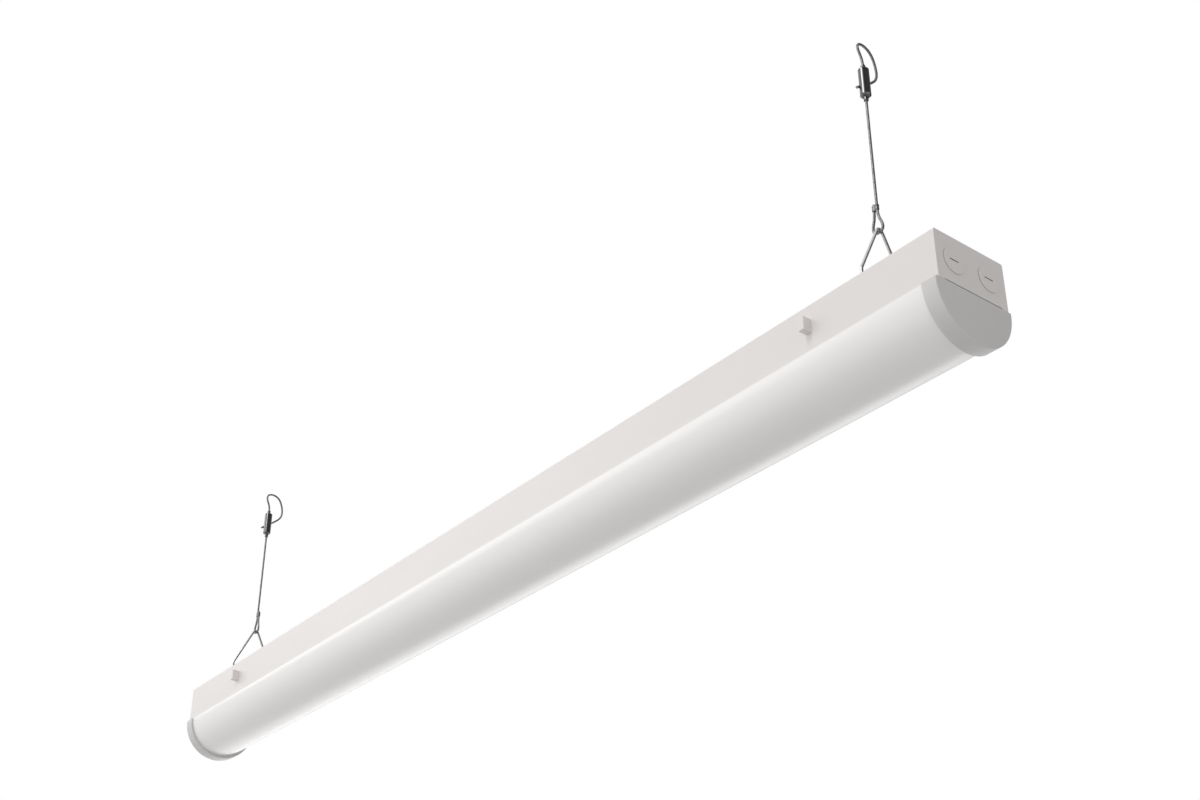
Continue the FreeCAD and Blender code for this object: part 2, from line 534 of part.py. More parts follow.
# ---- suspension ------------------------------------------------------------------------------
def make_v_hook(side):
    """V-hook bent from one wire: feet under the back, upright legs, and a V with a round top."""
    x = side * HANGER_X
    half = HOOK_FOOT_SPREAD / 2
    # The V's two straight sides are tangent to its round top, so they meet above the wire's own top.
    rise = HOOK_APEX_Z - HOOK_APEX_BEND - HOOK_SHOULDER_Z
    lean = math.atan2(half, rise + HOOK_APEX_BEND)
    for _ in range(20):
        lean = math.atan2(half, rise + HOOK_APEX_BEND / math.sin(lean))
    tip_z = HOOK_APEX_Z - HOOK_APEX_BEND + HOOK_APEX_BEND / math.sin(lean)
    route = [(x, half + HOOK_FOOT_LENGTH, FOOT_WIRE_Z), (x, half, FOOT_WIRE_Z), (x, half, HOOK_SHOULDER_Z),
             (x, 0, tip_z), (x, -half, HOOK_SHOULDER_Z), (x, -half, FOOT_WIRE_Z),
             (x, -half - HOOK_FOOT_LENGTH, FOOT_WIRE_Z)]
    radii = {1: HOOK_FOOT_BEND, 2: HOOK_SHOULDER_BEND, 3: HOOK_APEX_BEND, 4: HOOK_SHOULDER_BEND, 5: HOOK_FOOT_BEND}
    return tube(route, HOOK_WIRE, radii, "v_hook")


def make_cable(side):
    """Wire rope of one hanger: eye round the V-hook, straight run, loop back through the gripper."""
    eye = [(side * (HANGER_X + outward), y, z) for outward, y, z in EYE_ROUTE]
    loop = [(side * HANGER_X - left, y, z) for left, y, z in TOP_ROUTE]
    return tube(eye + loop, CABLE, name="cable")


def make_ferrule(side):
    """Crimped sleeve round the rope and the end of its eye."""
    gap = -EYE_ROUTE[0][0]
    outer_radius = CABLE / 2 + FERRULE_WALL
    ends = [rod(outer_radius, FERRULE_HEIGHT, V(-shift, 0, FERRULE_Z)) for shift in (0, gap)]
    middle = block(-gap, 0, -outer_radius, outer_radius, FERRULE_Z, FERRULE_Z + FERRULE_HEIGHT)
    sleeve = joined(ends + [middle])
    rims = [e for e in sleeve.Edges if e.BoundBox.ZLength < NEAR]
    sleeve = sleeve.makeChamfer(FERRULE_WALL / 2, rims)
    bores = [rod(CABLE / 2 - CRIMP, FERRULE_HEIGHT + 2 * PAST, V(-shift, 0, FERRULE_Z - PAST)) for shift in (0, gap)]
    return placed(sleeve.cut(bores), side)


def placed(shape, side):
    """A hanger piece modelled about the Z axis, moved to its hanger and mirrored for the left one."""
    shape.translate(V(HANGER_X, 0, 0))
    return shape if side > 0 else shape.mirror(V(0, 0, 0), V(1, 0, 0))


def straight_bore(z0, z1):
    """Bore for the rope's straight run."""
    return rod(CABLE / 2 + BORE_PLAY, z1 - z0, V(0, 0, z0))


def return_bore(side):
    """Sloping bore that the rope's end comes back through, on the left of the straight bore.

    It is drawn before the piece is mirrored to its side, so the right-hand one starts on the other side.
    """
    direction = V(0, -1, -RETURN_SLOPE)
    start = V(-side * RETURN_OFFSET, GRIP_DIAMETER, RETURN_Z + GRIP_DIAMETER * RETURN_SLOPE)
    return rod(CABLE / 2 + BORE_PLAY, 4 * GRIP_DIAMETER, start, direction)


def chamber_foot():
    """Height at which the jaws' cone starts, clear of the sloping bore."""
    return RETURN_Z + GRIP_DIAMETER / 2 * RETURN_SLOPE + CABLE


def jaw_cone(shrink):
    """The cone that the jaws wedge in, or the jaws' own outside where shrink is their play."""
    small = CABLE / 2 + BORE_PLAY + JAW_WALL
    large = PLUNGER_COLLAR / 2 + RUNNING_GAP
    return Part.makeCone(small - shrink, large - shrink, JAW_HEIGHT, V(0, 0, chamber_foot()))


def chamber():
    """Room inside the barrel for the jaws and for the plunger's collar with its travel."""
    start = chamber_foot() + JAW_HEIGHT
    room = rod(PLUNGER_COLLAR / 2 + RUNNING_GAP, GRIP_TOP_Z - GRIP_CHAMFER - start, V(0, 0, start))
    return [jaw_cone(0), room]


def make_gripper_body(side):
    """Gripper barrel: turned body with chamfered ends, a nose below, two bores and the jaws' cone."""
    radius = GRIP_DIAMETER / 2
    nose = NOSE_DIAMETER / 2
    outline = [(0, GRIP_Z - NOSE_HEIGHT), (nose, GRIP_Z - NOSE_HEIGHT), (nose, GRIP_Z),
               (radius - GRIP_CHAMFER, GRIP_Z), (radius, GRIP_Z + GRIP_CHAMFER),
               (radius, GRIP_TOP_Z - GRIP_CHAMFER), (radius - GRIP_CHAMFER, GRIP_TOP_Z), (0, GRIP_TOP_Z)]
    face = Part.Face(Part.makePolygon([V(r, 0, z) for r, z in outline + outline[:1]]))
    turned = face.revolve(V(0, 0, 0), V(0, 0, 1), 360)
    throat = rod(nose + RUNNING_GAP / 3, 3 * GRIP_CHAMFER, V(0, 0, GRIP_TOP_Z - 2 * GRIP_CHAMFER))
    straight = straight_bore(GRIP_Z - NOSE_HEIGHT - PAST, GRIP_TOP_Z + PAST)
    cuts = chamber() + [throat, straight, return_bore(side)]
    return placed(turned.cut(cuts), side)


def make_release_plunger(side):
    """Release plunger: the upper nose with its collar, pushed down to let the rope run."""
    nose = NOSE_DIAMETER / 2
    collar_top = GRIP_TOP_Z - GRIP_CHAMFER - RUNNING_GAP / 3
    stem = rod(nose, GRIP_TOP_Z + PLUNGER_PROUD - collar_top, V(0, 0, collar_top))
    rim = [e for e in stem.Edges if e.BoundBox.ZMin > GRIP_TOP_Z + PLUNGER_PROUD - NEAR]
    stem = stem.makeChamfer(PLUNGER_RIM, rim)
    collar = rod(PLUNGER_COLLAR / 2, PLUNGER_COLLAR_HEIGHT, V(0, 0, collar_top - PLUNGER_COLLAR_HEIGHT))
    bore = straight_bore(GRIP_Z, GRIP_TOP_Z + 2 * PLUNGER_PROUD)
    return placed(joined([stem, collar]).cut(bore), side)


def make_grip_jaws(side):
    """Two half-round jaws that wedge between the barrel's cone and the rope."""
    collet = jaw_cone(BORE_PLAY).cut(straight_bore(GRIP_Z, GRIP_TOP_Z))
    split = block(-GRIP_DIAMETER, GRIP_DIAMETER, -JAW_SPLIT / 2, JAW_SPLIT / 2, GRIP_Z, GRIP_TOP_Z)
    return placed(group(collet.cut(split).Solids), side)


# ---- build -----------------------------------------------------------------------------------
SIDES = (("left", -1), ("right", 1))


def build():
    """All pieces by name."""
    pieces = {"channel": make_channel(), "ground_screw": make_ground_screw(), "lens": make_lens(),
              "led_tray": make_led_tray(), "board_rivets": make_board_rivets(),
              "driver_base": make_driver_base(), "driver_cover": make_driver_cover(),
              "driver_screws": make_driver_screws(), "supply_terminal": make_supply_terminal(),
              "clip_rivets": make_clip_rivets()}
    for index in range(BOARD_COUNT):
        pieces[f"led_board_{index + 1}"] = make_led_board(index)
        pieces[f"led_chips_{index + 1}"] = make_led_chips(index)
    makers = {"end_plate": make_end_plate, "lens_cap": make_lens_cap, "catch_spring": make_catch_spring,
              "v_hook": make_v_hook, "cable": make_cable, "ferrule": make_ferrule,
              "gripper_body": make_gripper_body, "release_plunger": make_release_plunger,
              "grip_jaws": make_grip_jaws}
    for name, maker in makers.items():
        for side_name, side in SIDES:
            pieces[f"{name}_{side_name}"] = maker(side)
    return pieces


os.makedirs("parts", exist_ok=True)
for piece_name, piece in build().items():
    good = piece.isValid() and all(s.Volume > 0 for s in piece.Solids)
    print(f"{piece_name}: {len(piece.Solids)} solids, volume {piece.Volume:.1f}, {'ok' if good else 'BAD'}")
    piece.exportStep(f"parts/{piece_name}.step")
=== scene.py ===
"""Looks of the hanging shop light: finishes, cables, wire hooks, grippers, opal lens and studio.

Lengths are metres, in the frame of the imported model: +Z up, the origin at the middle of the channel's back,
X along the light. Each class below holds one assembly of the light and makes its own meshes and finishes.
"""

from __future__ import annotations

import json
import logging
import math
from dataclasses import dataclass
from enum import Enum
from typing import Any, Sequence

import bmesh
import bpy
from mathutils import Matrix, Vector

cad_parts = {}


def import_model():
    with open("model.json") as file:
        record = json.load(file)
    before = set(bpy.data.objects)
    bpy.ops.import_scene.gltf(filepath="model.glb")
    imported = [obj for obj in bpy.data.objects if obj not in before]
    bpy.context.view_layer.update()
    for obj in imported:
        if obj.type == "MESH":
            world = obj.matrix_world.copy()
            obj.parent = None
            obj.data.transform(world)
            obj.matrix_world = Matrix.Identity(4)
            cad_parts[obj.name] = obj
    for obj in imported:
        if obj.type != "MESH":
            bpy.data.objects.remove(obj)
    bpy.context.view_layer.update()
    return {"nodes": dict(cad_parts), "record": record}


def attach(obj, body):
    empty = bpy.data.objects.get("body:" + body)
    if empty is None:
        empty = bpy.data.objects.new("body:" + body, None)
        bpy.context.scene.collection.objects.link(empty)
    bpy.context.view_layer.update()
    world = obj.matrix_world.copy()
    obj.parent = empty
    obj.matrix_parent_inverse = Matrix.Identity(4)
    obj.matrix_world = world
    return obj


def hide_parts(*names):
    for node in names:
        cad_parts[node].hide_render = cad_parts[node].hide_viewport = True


LOG = logging.getLogger("shop_light")
MM = 0.001
SMOOTH_ANGLE = 35.0
MERGE_DISTANCE = 1e-7
Point = tuple[float, float, float]
Flat = tuple[float, float]  # a point or a size in a plane
Span = tuple[float, float]  # where something starts and ends
Color = tuple[float, float, float]


class Side(Enum):
    """Which end of the light a piece belongs to; the value is the sign of its X."""

    LEFT = -1
    RIGHT = 1

    @property
    def word(self) -> str:
        """The side's name as the nodes spell it."""
        return self.name.lower()


# ---- node trees ------------------------------------------------------------------------------
class Signal:
    """A number that varies over a surface or along a curve; arithmetic on it adds Math nodes."""

    def __init__(self, owner: "Tree", socket: bpy.types.NodeSocket) -> None:
        """Wraps one output socket of a tree."""
        self.owner = owner
        self.socket = socket

    def _math(self, operation: str, *operands: Any) -> "Signal":
        """Adds a Math node.

        Args:
            operation: the Math node's operation.
            operands: signals or numbers, in the order of the node's sockets.

        Returns:
            The node's result.
        """
        return self.owner.signal("ShaderNodeMath", {"operation": operation}, dict(enumerate(operands)))

    def __add__(self, other: Any) -> "Signal":
        """Sum."""
        return self._math("ADD", self, other)

    __radd__ = __add__

    def __sub__(self, other: Any) -> "Signal":
        """Difference."""
        return self._math("SUBTRACT", self, other)

    def __rsub__(self, other: Any) -> "Signal":
        """Difference from a number."""
        return self._math("SUBTRACT", other, self)

    def __mul__(self, other: Any) -> "Signal":
        """Product."""
        return self._math("MULTIPLY", self, other)

    __rmul__ = __mul__

    def __truediv__(self, other: Any) -> "Signal":
        """Quotient."""
        return self._math("DIVIDE", self, other)

    def __rtruediv__(self, other: Any) -> "Signal":
        """Quotient of a number."""
        return self._math("DIVIDE", other, self)

    def __abs__(self) -> "Signal":
        """The signal without its sign."""
        return self._math("ABSOLUTE", self)

    def clamped(self) -> "Signal":
        """The signal held between 0 and 1."""
        return self._math("MINIMUM", self._math("MAXIMUM", self, 0.0), 1.0)

    def above(self, threshold: float) -> "Signal":
        """1 where the signal is over the threshold, 0 elsewhere."""
        return self._math("GREATER_THAN", self, threshold)

    def sine(self) -> "Signal":
        """Sine of the signal in radians."""
        return self._math("SINE", self)

    def bearing(self, x: "Signal") -> "Signal":
        """The angle in radians of a point, where this signal is its Y."""
        return self._math("ARCTAN2", self, x)


class Tree:
    """A node tree under construction."""

    def __init__(self, tree: bpy.types.NodeTree) -> None:
        """Empties a tree to build it anew."""
        self.tree = tree
        self.tree.nodes.clear()

    def node(self, kind: str, settings: dict[str, Any] | None = None,
             values: dict[Any, Any] | None = None) -> bpy.types.Node:
        """Adds a node.

        Args:
            kind: the node's type.
            settings: attributes of the node, set before its sockets.
            values: socket name or number to a signal, a socket or a plain value.

        Returns:
            The new node.
        """
        made = self.tree.nodes.new(kind)
        for key, value in (settings or {}).items():
            setattr(made, key, value)
        for key, value in (values or {}).items():
            self.feed(made.inputs[key], value)
        return made

    def feed(self, socket: bpy.types.NodeSocket, value: Any) -> None:
        """Links or sets one input socket."""
        if isinstance(value, Signal):
            value = value.socket
        if isinstance(value, bpy.types.NodeSocket):
            self.tree.links.new(value, socket)
        elif isinstance(value, tuple) and len(value) == 3 and socket.type == "RGBA":
            socket.default_value = (*value, 1.0)
        else:
            socket.default_value = value

    def signal(self, kind: str, settings: dict[str, Any] | None = None,
               values: dict[Any, Any] | None = None, output: Any = 0) -> Signal:
        """Adds a node and returns one of its outputs as a signal."""
        return Signal(self, self.node(kind, settings, values).outputs[output])

    def split(self, vector: bpy.types.NodeSocket) -> list[Signal]:
        """The X, Y and Z of a vector."""
        parts = self.node("ShaderNodeSeparateXYZ", None, {0: vector})
        return [Signal(self, part) for part in parts.outputs]


class Graph(Tree):
    """A shader tree under construction."""

    def place(self, scale: Point = (1.0, 1.0, 1.0)) -> bpy.types.NodeSocket:
        """Object coordinates in metres, stretched by scale."""
        coordinates = self.node("ShaderNodeTexCoord").outputs["Object"]
        mapping = self.node("ShaderNodeMapping", None, {"Vector": coordinates, "Scale": scale})
        return mapping.outputs[0]

    def noise(self, scale: float, detail: float = 2.0, stretch: Point = (1.0, 1.0, 1.0)) -> Signal:
        """Noise from 0 to 1 with about scale features per metre."""
        values = {"Vector": self.place(stretch), "Scale": scale, "Detail": detail}
        return self.signal("ShaderNodeTexNoise", None, values)

    def seen(self) -> Signal:
        """1 on the rays that show the surroundings: the camera's, reflected ones and those through glass."""
        rays = self.node("ShaderNodeLightPath")
        kinds = ("Camera", "Glossy", "Transmission")
        return sum(Signal(self, rays.outputs[f"Is {kind} Ray"]) for kind in kinds).clamped()

    def slope(self, source: Signal, low: float, high: float, top: float = 1.0,
              shape: str = "SMOOTHSTEP") -> Signal:
        """0 where the source is below low, top where it is above high, with a slope between."""
        values = {"Value": source, "From Min": low, "From Max": high, "To Max": top}
        return self.signal("ShaderNodeMapRange", {"interpolation_type": shape}, values)

    def mixed(self, factor: Any, first: Any, second: Any) -> bpy.types.NodeSocket:
        """A colour between two colours."""
        made = self.node("ShaderNodeMix", {"data_type": "RGBA"})
        self.feed(made.inputs["Factor"], factor)
        for socket, value in zip((s for s in made.inputs if s.type == "RGBA"), (first, second)):
            self.feed(socket, value)
        return next(s for s in made.outputs if s.type == "RGBA")


class SurfaceGraph(Graph):
    """A material under construction: a Principled shader wired to the output."""

    def __init__(self, name: str) -> None:
        """Starts a material."""
        self.material = bpy.data.materials.new(name)
        self.material.use_nodes = True
        super().__init__(self.material.node_tree)
        self.shader = self.node("ShaderNodeBsdfPrincipled")
        self.node("ShaderNodeOutputMaterial", None, {"Surface": self.shader.outputs[0]})

    def bump(self, height: Signal, strength: float, distance: float) -> None:
        """Feeds a height to the shader's normal; distance is its size in metres."""
        values = {"Strength": strength, "Distance": distance, "Height": height}
        self.feed(self.shader.inputs["Normal"], self.node("ShaderNodeBump", None, values).outputs[0])

    def surface(self, **values: Any) -> None:
        """Sets the shader's inputs; underscores stand for the blanks of a socket's name."""
        for key, value in values.items():
            self.feed(self.shader.inputs[key.replace("_", " ").title()], value)


# ---- finishes --------------------------------------------------------------------------------
def tinted(color: Color, factors: Sequence[float]) -> Color:
    """A colour with each channel multiplied by its factor."""
    return tuple(channel * factor for channel, factor in zip(color, factors))


@dataclass(frozen=True)
class PowderCoat:
    """Sprayed and baked paint on sheet steel: fine orange peel, faint dust, a touch of tone change."""

    name: str
    color: Color
    roughness: float = 0.42
    shade: float = 0.965
    tone_scale: float = 5.0
    smear_scale: float = 38.0
    smear_depth: float = 0.12
    peel_scale: float = 900.0
    peel_strength: float = 0.25
    peel_depth: float = 0.00003

    def build(self) -> bpy.types.Material:
        """Returns the finish as a material."""
        graph = SurfaceGraph(self.name)
        tone = graph.noise(self.tone_scale, 3.0, stretch=(0.35, 1.0, 1.0))
        graph.surface(base_color=graph.mixed(tone, self.color, tinted(self.color, [self.shade] * 3)))
        smear = graph.noise(self.smear_scale, 4.0, stretch=(0.2, 1.0, 1.0))
        graph.surface(roughness=smear * self.smear_depth + (self.roughness - self.smear_depth / 2))
        graph.bump(graph.noise(self.peel_scale), self.peel_strength, self.peel_depth)
        return graph.material


@dataclass(frozen=True)
class OpalPlastic:
    """Extruded opal acrylic: bright body, faint draw lines along its length, soft gloss."""

    name: str
    color: Color
    roughness: float = 0.34
    cloud_tint: Color = (0.985, 0.98, 0.97)
    cloud_scale: float = 16.0
    draw_scale: float = 700.0
    draw_roughness: float = 0.06
    draw_strength: float = 0.12
    draw_depth: float = 0.00002

    def build(self) -> bpy.types.Material:
        """Returns the finish as a material."""
        graph = SurfaceGraph(self.name)
        cloud = graph.noise(self.cloud_scale, stretch=(0.12, 1.0, 1.0))
        graph.surface(base_color=graph.mixed(cloud, self.color, tinted(self.color, self.cloud_tint)))
        draw = graph.noise(self.draw_scale, 1.0, stretch=(0.01, 1.0, 1.0))
        graph.surface(roughness=draw * self.draw_roughness + self.roughness)
        graph.bump(draw, self.draw_strength, self.draw_depth)
        return graph.material


@dataclass(frozen=True)
class MouldedPlastic:
    """Injection-moulded plastic with a fine spark-eroded grain."""

    name: str
    color: Color
    roughness: float = 0.45
    shade: float = 0.955
    flow_scale: float = 30.0
    gloss_scale: float = 90.0
    gloss_depth: float = 0.1
    grain_scale: float = 2600.0
    grain_strength: float = 0.2
    grain_depth: float = 0.00002

    def build(self) -> bpy.types.Material:
        """Returns the finish as a material."""
        graph = SurfaceGraph(self.name)
        flow = graph.noise(self.flow_scale, 3.0)
        graph.surface(base_color=graph.mixed(flow, self.color, tinted(self.color, [self.shade] * 3)))
        gloss = graph.noise(self.gloss_scale) * self.gloss_depth
        graph.surface(roughness=gloss + (self.roughness - self.gloss_depth / 2))
        graph.bump(graph.noise(self.grain_scale), self.grain_strength, self.grain_depth)
        return graph.material


@dataclass(frozen=True)
class PlatedMetal:
    """Bright or dull plating over drawn or turned metal, with tool marks and thin tarnish."""

    name: str
    color: Color
    tarnish: Color
    roughness: float = 0.22
    tarnish_share: float = 0.35
    tarnish_scale: float = 420.0
    tarnish_edge: tuple[float, float] = (0.42, 0.72)
    tarnish_roughness: float = 0.2
    mark_scale: float = 2400.0
    mark_roughness: float = 0.16
    mark_strength: float = 0.15
    mark_depth: float = 0.00001

    def build(self) -> bpy.types.Material:
        """Returns the finish as a material."""
        graph = SurfaceGraph(self.name)
        stain = graph.noise(self.tarnish_scale, 4.0)
        patches = graph.slope(stain, *self.tarnish_edge, self.tarnish_share, "LINEAR")
        graph.surface(metallic=1.0, base_color=graph.mixed(patches, self.color, self.tarnish))
        lines = graph.noise(self.mark_scale, stretch=(1.0, 1.0, 0.05))
        dull = lines * self.mark_roughness + patches * self.tarnish_roughness
        graph.surface(roughness=(dull + (self.roughness - self.mark_roughness / 2)).clamped())
        graph.bump(lines, self.mark_strength, self.mark_depth)
        return graph.material


@dataclass(frozen=True)
class GalvanisedSheet:
    """Zinc-coated sheet with its spangle."""

    name: str
    color: Color
    roughness: float = 0.28
    shade: float = 0.72
    spangle_scale: float = 160.0
    spangle_roughness: float = 0.2
    spangle_strength: float = 0.1
    spangle_depth: float = 0.00002

    def build(self) -> bpy.types.Material:
        """Returns the finish as a material."""
        graph = SurfaceGraph(self.name)
        values = {"Vector": graph.place(), "Scale": self.spangle_scale}
        spangle = graph.signal("ShaderNodeTexVoronoi", None, values, "Color")
        level = graph.signal("ShaderNodeRGBToBW", None, {0: spangle})
        shaded = tinted(self.color, [self.shade] * 3)
        graph.surface(metallic=1.0, base_color=graph.mixed(level, self.color, shaded))
        graph.surface(roughness=level * self.spangle_roughness + self.roughness)
        graph.bump(level, self.spangle_strength, self.spangle_depth)
        return graph.material


@dataclass(frozen=True)
class CircuitBoard:
    """White solder mask over copper: the tracks show as faint raised bands."""

    name: str
    color: Color
    roughness: float = 0.3
    track_tint: Color = (0.95, 0.94, 0.88)
    track_share: float = 0.6
    track_rate: float = 1100.0
    track_edge: float = 0.35
    track_strength: float = 0.3
    track_depth: float = 0.00004
    gloss_scale: float = 300.0
    gloss_depth: float = 0.1

    def build(self) -> bpy.types.Material:
        """Returns the finish as a material."""
        graph = SurfaceGraph(self.name)
        _, y, _ = graph.split(graph.place())
        tracks = (y * self.track_rate).sine().above(self.track_edge)
        tint = tinted(self.color, self.track_tint)
        graph.surface(base_color=graph.mixed(tracks * self.track_share, self.color, tint))
        graph.surface(roughness=graph.noise(self.gloss_scale) * self.gloss_depth + self.roughness)
        graph.bump(tracks, self.track_strength, self.track_depth)
        return graph.material


class Finish:
    """The finishes of the light, by the record's material slots, and the bare metal of sheared edges."""

    PALETTE = {finish.name: finish for finish in (
        PowderCoat("white_paint", (0.8, 0.765, 0.75)),
        OpalPlastic("opal_diffuser", (0.93, 0.92, 0.905), 0.2),
        MouldedPlastic("white_moulding", (0.67, 0.66, 0.65)),
        PowderCoat("tray_paint", (0.87, 0.87, 0.86), 0.3),
        CircuitBoard("circuit_board", (0.86, 0.86, 0.83)),
        MouldedPlastic("phosphor", (0.86, 0.66, 0.16), 0.25),
        MouldedPlastic("nylon", (0.82, 0.82, 0.77), 0.4),
        GalvanisedSheet("galvanised", (0.62, 0.63, 0.64)),
        MouldedPlastic("terminal_plastic", (0.8, 0.76, 0.66), 0.35),
        PlatedMetal("spring_steel", (0.5, 0.5, 0.51), (0.25, 0.24, 0.24), 0.3),
        PowderCoat("ground_green", (0.04, 0.24, 0.08), 0.35),
        PlatedMetal("nickel_wire", (0.6, 0.59, 0.58), (0.3, 0.29, 0.28), 0.16),
        PlatedMetal("wire_rope", (0.26, 0.26, 0.26), (0.12, 0.12, 0.12), 0.36, 0.6),
        PlatedMetal("ferrule_metal", (0.2, 0.2, 0.2), (0.12, 0.12, 0.12), 0.34),
        PlatedMetal("gripper_metal", (0.17, 0.17, 0.175), (0.12, 0.12, 0.12), 0.1, 0.2),
        PlatedMetal("bare_edge", (0.58, 0.58, 0.57), (0.46, 0.46, 0.45), 0.4),
        PlatedMetal("jaw_steel", (0.4, 0.4, 0.41), (0.2, 0.2, 0.2), 0.3),
    )}
    _made: dict[str, bpy.types.Material] = {}

    @classmethod
    def of(cls, slot: str) -> bpy.types.Material:
        """The slot's material, built on first use."""
        if slot not in cls._made:
            cls._made[slot] = cls.PALETTE[slot].build()
        return cls._made[slot]


# ---- meshes ----------------------------------------------------------------------------------
def show(name: str, data: bpy.types.ID) -> bpy.types.Object:
    """Puts a mesh, curve, lamp or camera into the scene as an object at the origin."""
    made = bpy.data.objects.new(name, data)
    bpy.context.scene.collection.objects.link(made)
    return made


def finish_mesh(name: str, mesh_edit: bmesh.types.BMesh,
                smooth_angle: float = SMOOTH_ANGLE) -> bpy.types.Object:
    """Turns an edited mesh into an object with outward faces and smooth shading by angle.

    Args:
        name: the object's name.
        mesh_edit: the geometry, freed here.
        smooth_angle: edges sharper than this many degrees stay sharp.

    Returns:
        The new object.
    """
    bmesh.ops.remove_doubles(mesh_edit, verts=mesh_edit.verts, dist=MERGE_DISTANCE)
    bmesh.ops.recalc_face_normals(mesh_edit, faces=mesh_edit.faces)
    mesh = bpy.data.meshes.new(name)
    mesh_edit.to_mesh(mesh)
    mesh_edit.free()
    smooth(mesh, smooth_angle)
    return show(name, mesh)


def smooth(mesh: bpy.types.Mesh, angle: float = SMOOTH_ANGLE) -> None:
    """Shades a mesh smooth, apart from its edges over the angle in degrees."""
    mesh.shade_smooth()
    mesh.set_sharp_from_angle(angle=math.radians(angle))


def loft(rings: Sequence[Sequence[Vector]], closed_ring: bool = True, caps: bool = True) -> bmesh.types.BMesh:
    """Skins rings of equal length.

    Args:
        rings: the rings, in order.
        closed_ring: whether each ring's last point joins its first.
        caps: whether the first and last rings are filled.

    Returns:
        The skin, for finish_mesh.
    """
    skin = bmesh.new()
    rows = [[skin.verts.new(p) for p in ring] for ring in rings]
    count = len(rows[0])
    for low, high in zip(rows, rows[1:]):
        for i in range(count if closed_ring else count - 1):
            j = (i + 1) % count
            skin.faces.new((low[i], low[j], high[j], high[i]))
    if caps:
        skin.faces.new(rows[0][::-1])
        skin.faces.new(rows[-1])
    return skin


def turned(profile: Sequence[Flat], centre: Vector, count: int) -> bmesh.types.BMesh:
    """A body of revolution about the Z line through centre, with a bore.

    Args:
        profile: (radius, height) pairs, a closed outline round a bore.
        centre: a point of the axis at height 0.
        count: points round the body.

    Returns:
        The skin, for finish_mesh.
    """
    skin = bmesh.new()
    turns = [2 * math.pi * k / count for k in range(count)]
    rows = []
    for radius, height in profile:
        ring = (Vector((radius * math.cos(t), radius * math.sin(t), height)) for t in turns)
        rows.append([skin.verts.new(centre + point) for point in ring])
    for low, high in zip(rows, rows[1:] + rows[:1]):
        for i in range(count):
            j = (i + 1) % count
            skin.faces.new((low[i], low[j], high[j], high[i]))
    return skin


def arc(centre: Flat, radius: float, start: float, end: float, count: int) -> list[Flat]:
    """Points of an arc in a plane, angles in degrees."""
    angles = (math.radians(start + (end - start) * k / count) for k in range(count + 1))
    return [(centre[0] + radius * math.cos(a), centre[1] + radius * math.sin(a)) for a in angles]


def applied(name: str, source: bpy.types.Object) -> bpy.types.Object:
    """Bakes an object's modifiers into a plain mesh object and removes the source.

    Args:
        name: the new object's name.
        source: the object with its modifiers.

    Returns:
        The new object.
    """
    graph = bpy.context.evaluated_depsgraph_get()
    mesh = bpy.data.meshes.new_from_object(source.evaluated_get(graph))
    mesh.name = name
    bpy.data.objects.remove(source, do_unlink=True)
    return show(name, mesh)


def cut_away(body: bpy.types.Object, cutters: Sequence[bpy.types.Object], name: str) -> bpy.types.Object:
    """Cuts closed bodies out of another and returns the result as a new object."""
    for cutter in cutters:
        step = body.modifiers.new("cut", "BOOLEAN")
        step.object = cutter
        step.operation = "DIFFERENCE"
        step.solver = "EXACT"
    made = applied(name, body)
    for cutter in cutters:
        bpy.data.objects.remove(cutter, do_unlink=True)
    smooth(made.data)
    return made


def stand_for(piece: bpy.types.Object, node: str, body: str, slot: str) -> None:
    """Gives a piece its finish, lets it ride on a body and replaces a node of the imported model."""
    if not piece.data.materials:
        piece.data.materials.append(Finish.of(slot))
    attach(piece, body)
    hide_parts(node)
    LOG.info("%s on %s: %d faces", piece.name, body, len(piece.data.polygons))


# ---- geometry node trees ---------------------------------------------------------------------
class Recipe(Tree):
    """A Geometry Nodes tree that sweeps a section along a path, with named inputs."""

    def __init__(self, name: str, inputs: dict[str, str]) -> None:
        """Starts a tree.

        Args:
            name: the tree's name.
            inputs: name of each input after the geometry, to its socket type.
        """
        super().__init__(bpy.data.node_groups.new(name, "GeometryNodeTree"))
        face = self.tree.interface
        face.new_socket("Geometry", in_out="INPUT", socket_type="NodeSocketGeometry")
        for key, kind in inputs.items():
            face.new_socket(key, in_out="INPUT", socket_type=kind)
        face.new_socket("Geometry", in_out="OUTPUT", socket_type="NodeSocketGeometry")
        self.entry = self.tree.nodes.new("NodeGroupInput")
        self.exit = self.tree.nodes.new("NodeGroupOutput")

    def given(self, name: str) -> Signal:
        """A named input."""
        return Signal(self, self.entry.outputs[name])

    def ring(self, sides: Any) -> bpy.types.NodeSocket:
        """A circle of the diameter given to the tree."""
        values = {"Radius": self.given("Diameter") * 0.5, "Resolution": sides}
        return self.node("GeometryNodeCurvePrimitiveCircle", None, values).outputs[0]

    def sweep(self, path: bpy.types.NodeSocket, section: bpy.types.NodeSocket) -> bpy.types.NodeTree:
        """Ends the tree in the swept body, with its material.

        Args:
            path: the curve to follow.
            section: the closed curve that is swept.

        Returns:
            The finished tree.
        """
        swept = self.node("GeometryNodeCurveToMesh", None, {0: path, 1: section, "Fill Caps": True})
        real = self.node("GeometryNodeRealizeInstances", None, {0: swept.outputs[0]})
        values = {0: real.outputs[0], "Material": self.given("Material")}
        painted = self.node("GeometryNodeSetMaterial", None, values)
        self.feed(self.exit.inputs[0], painted.outputs[0])
        return self.tree


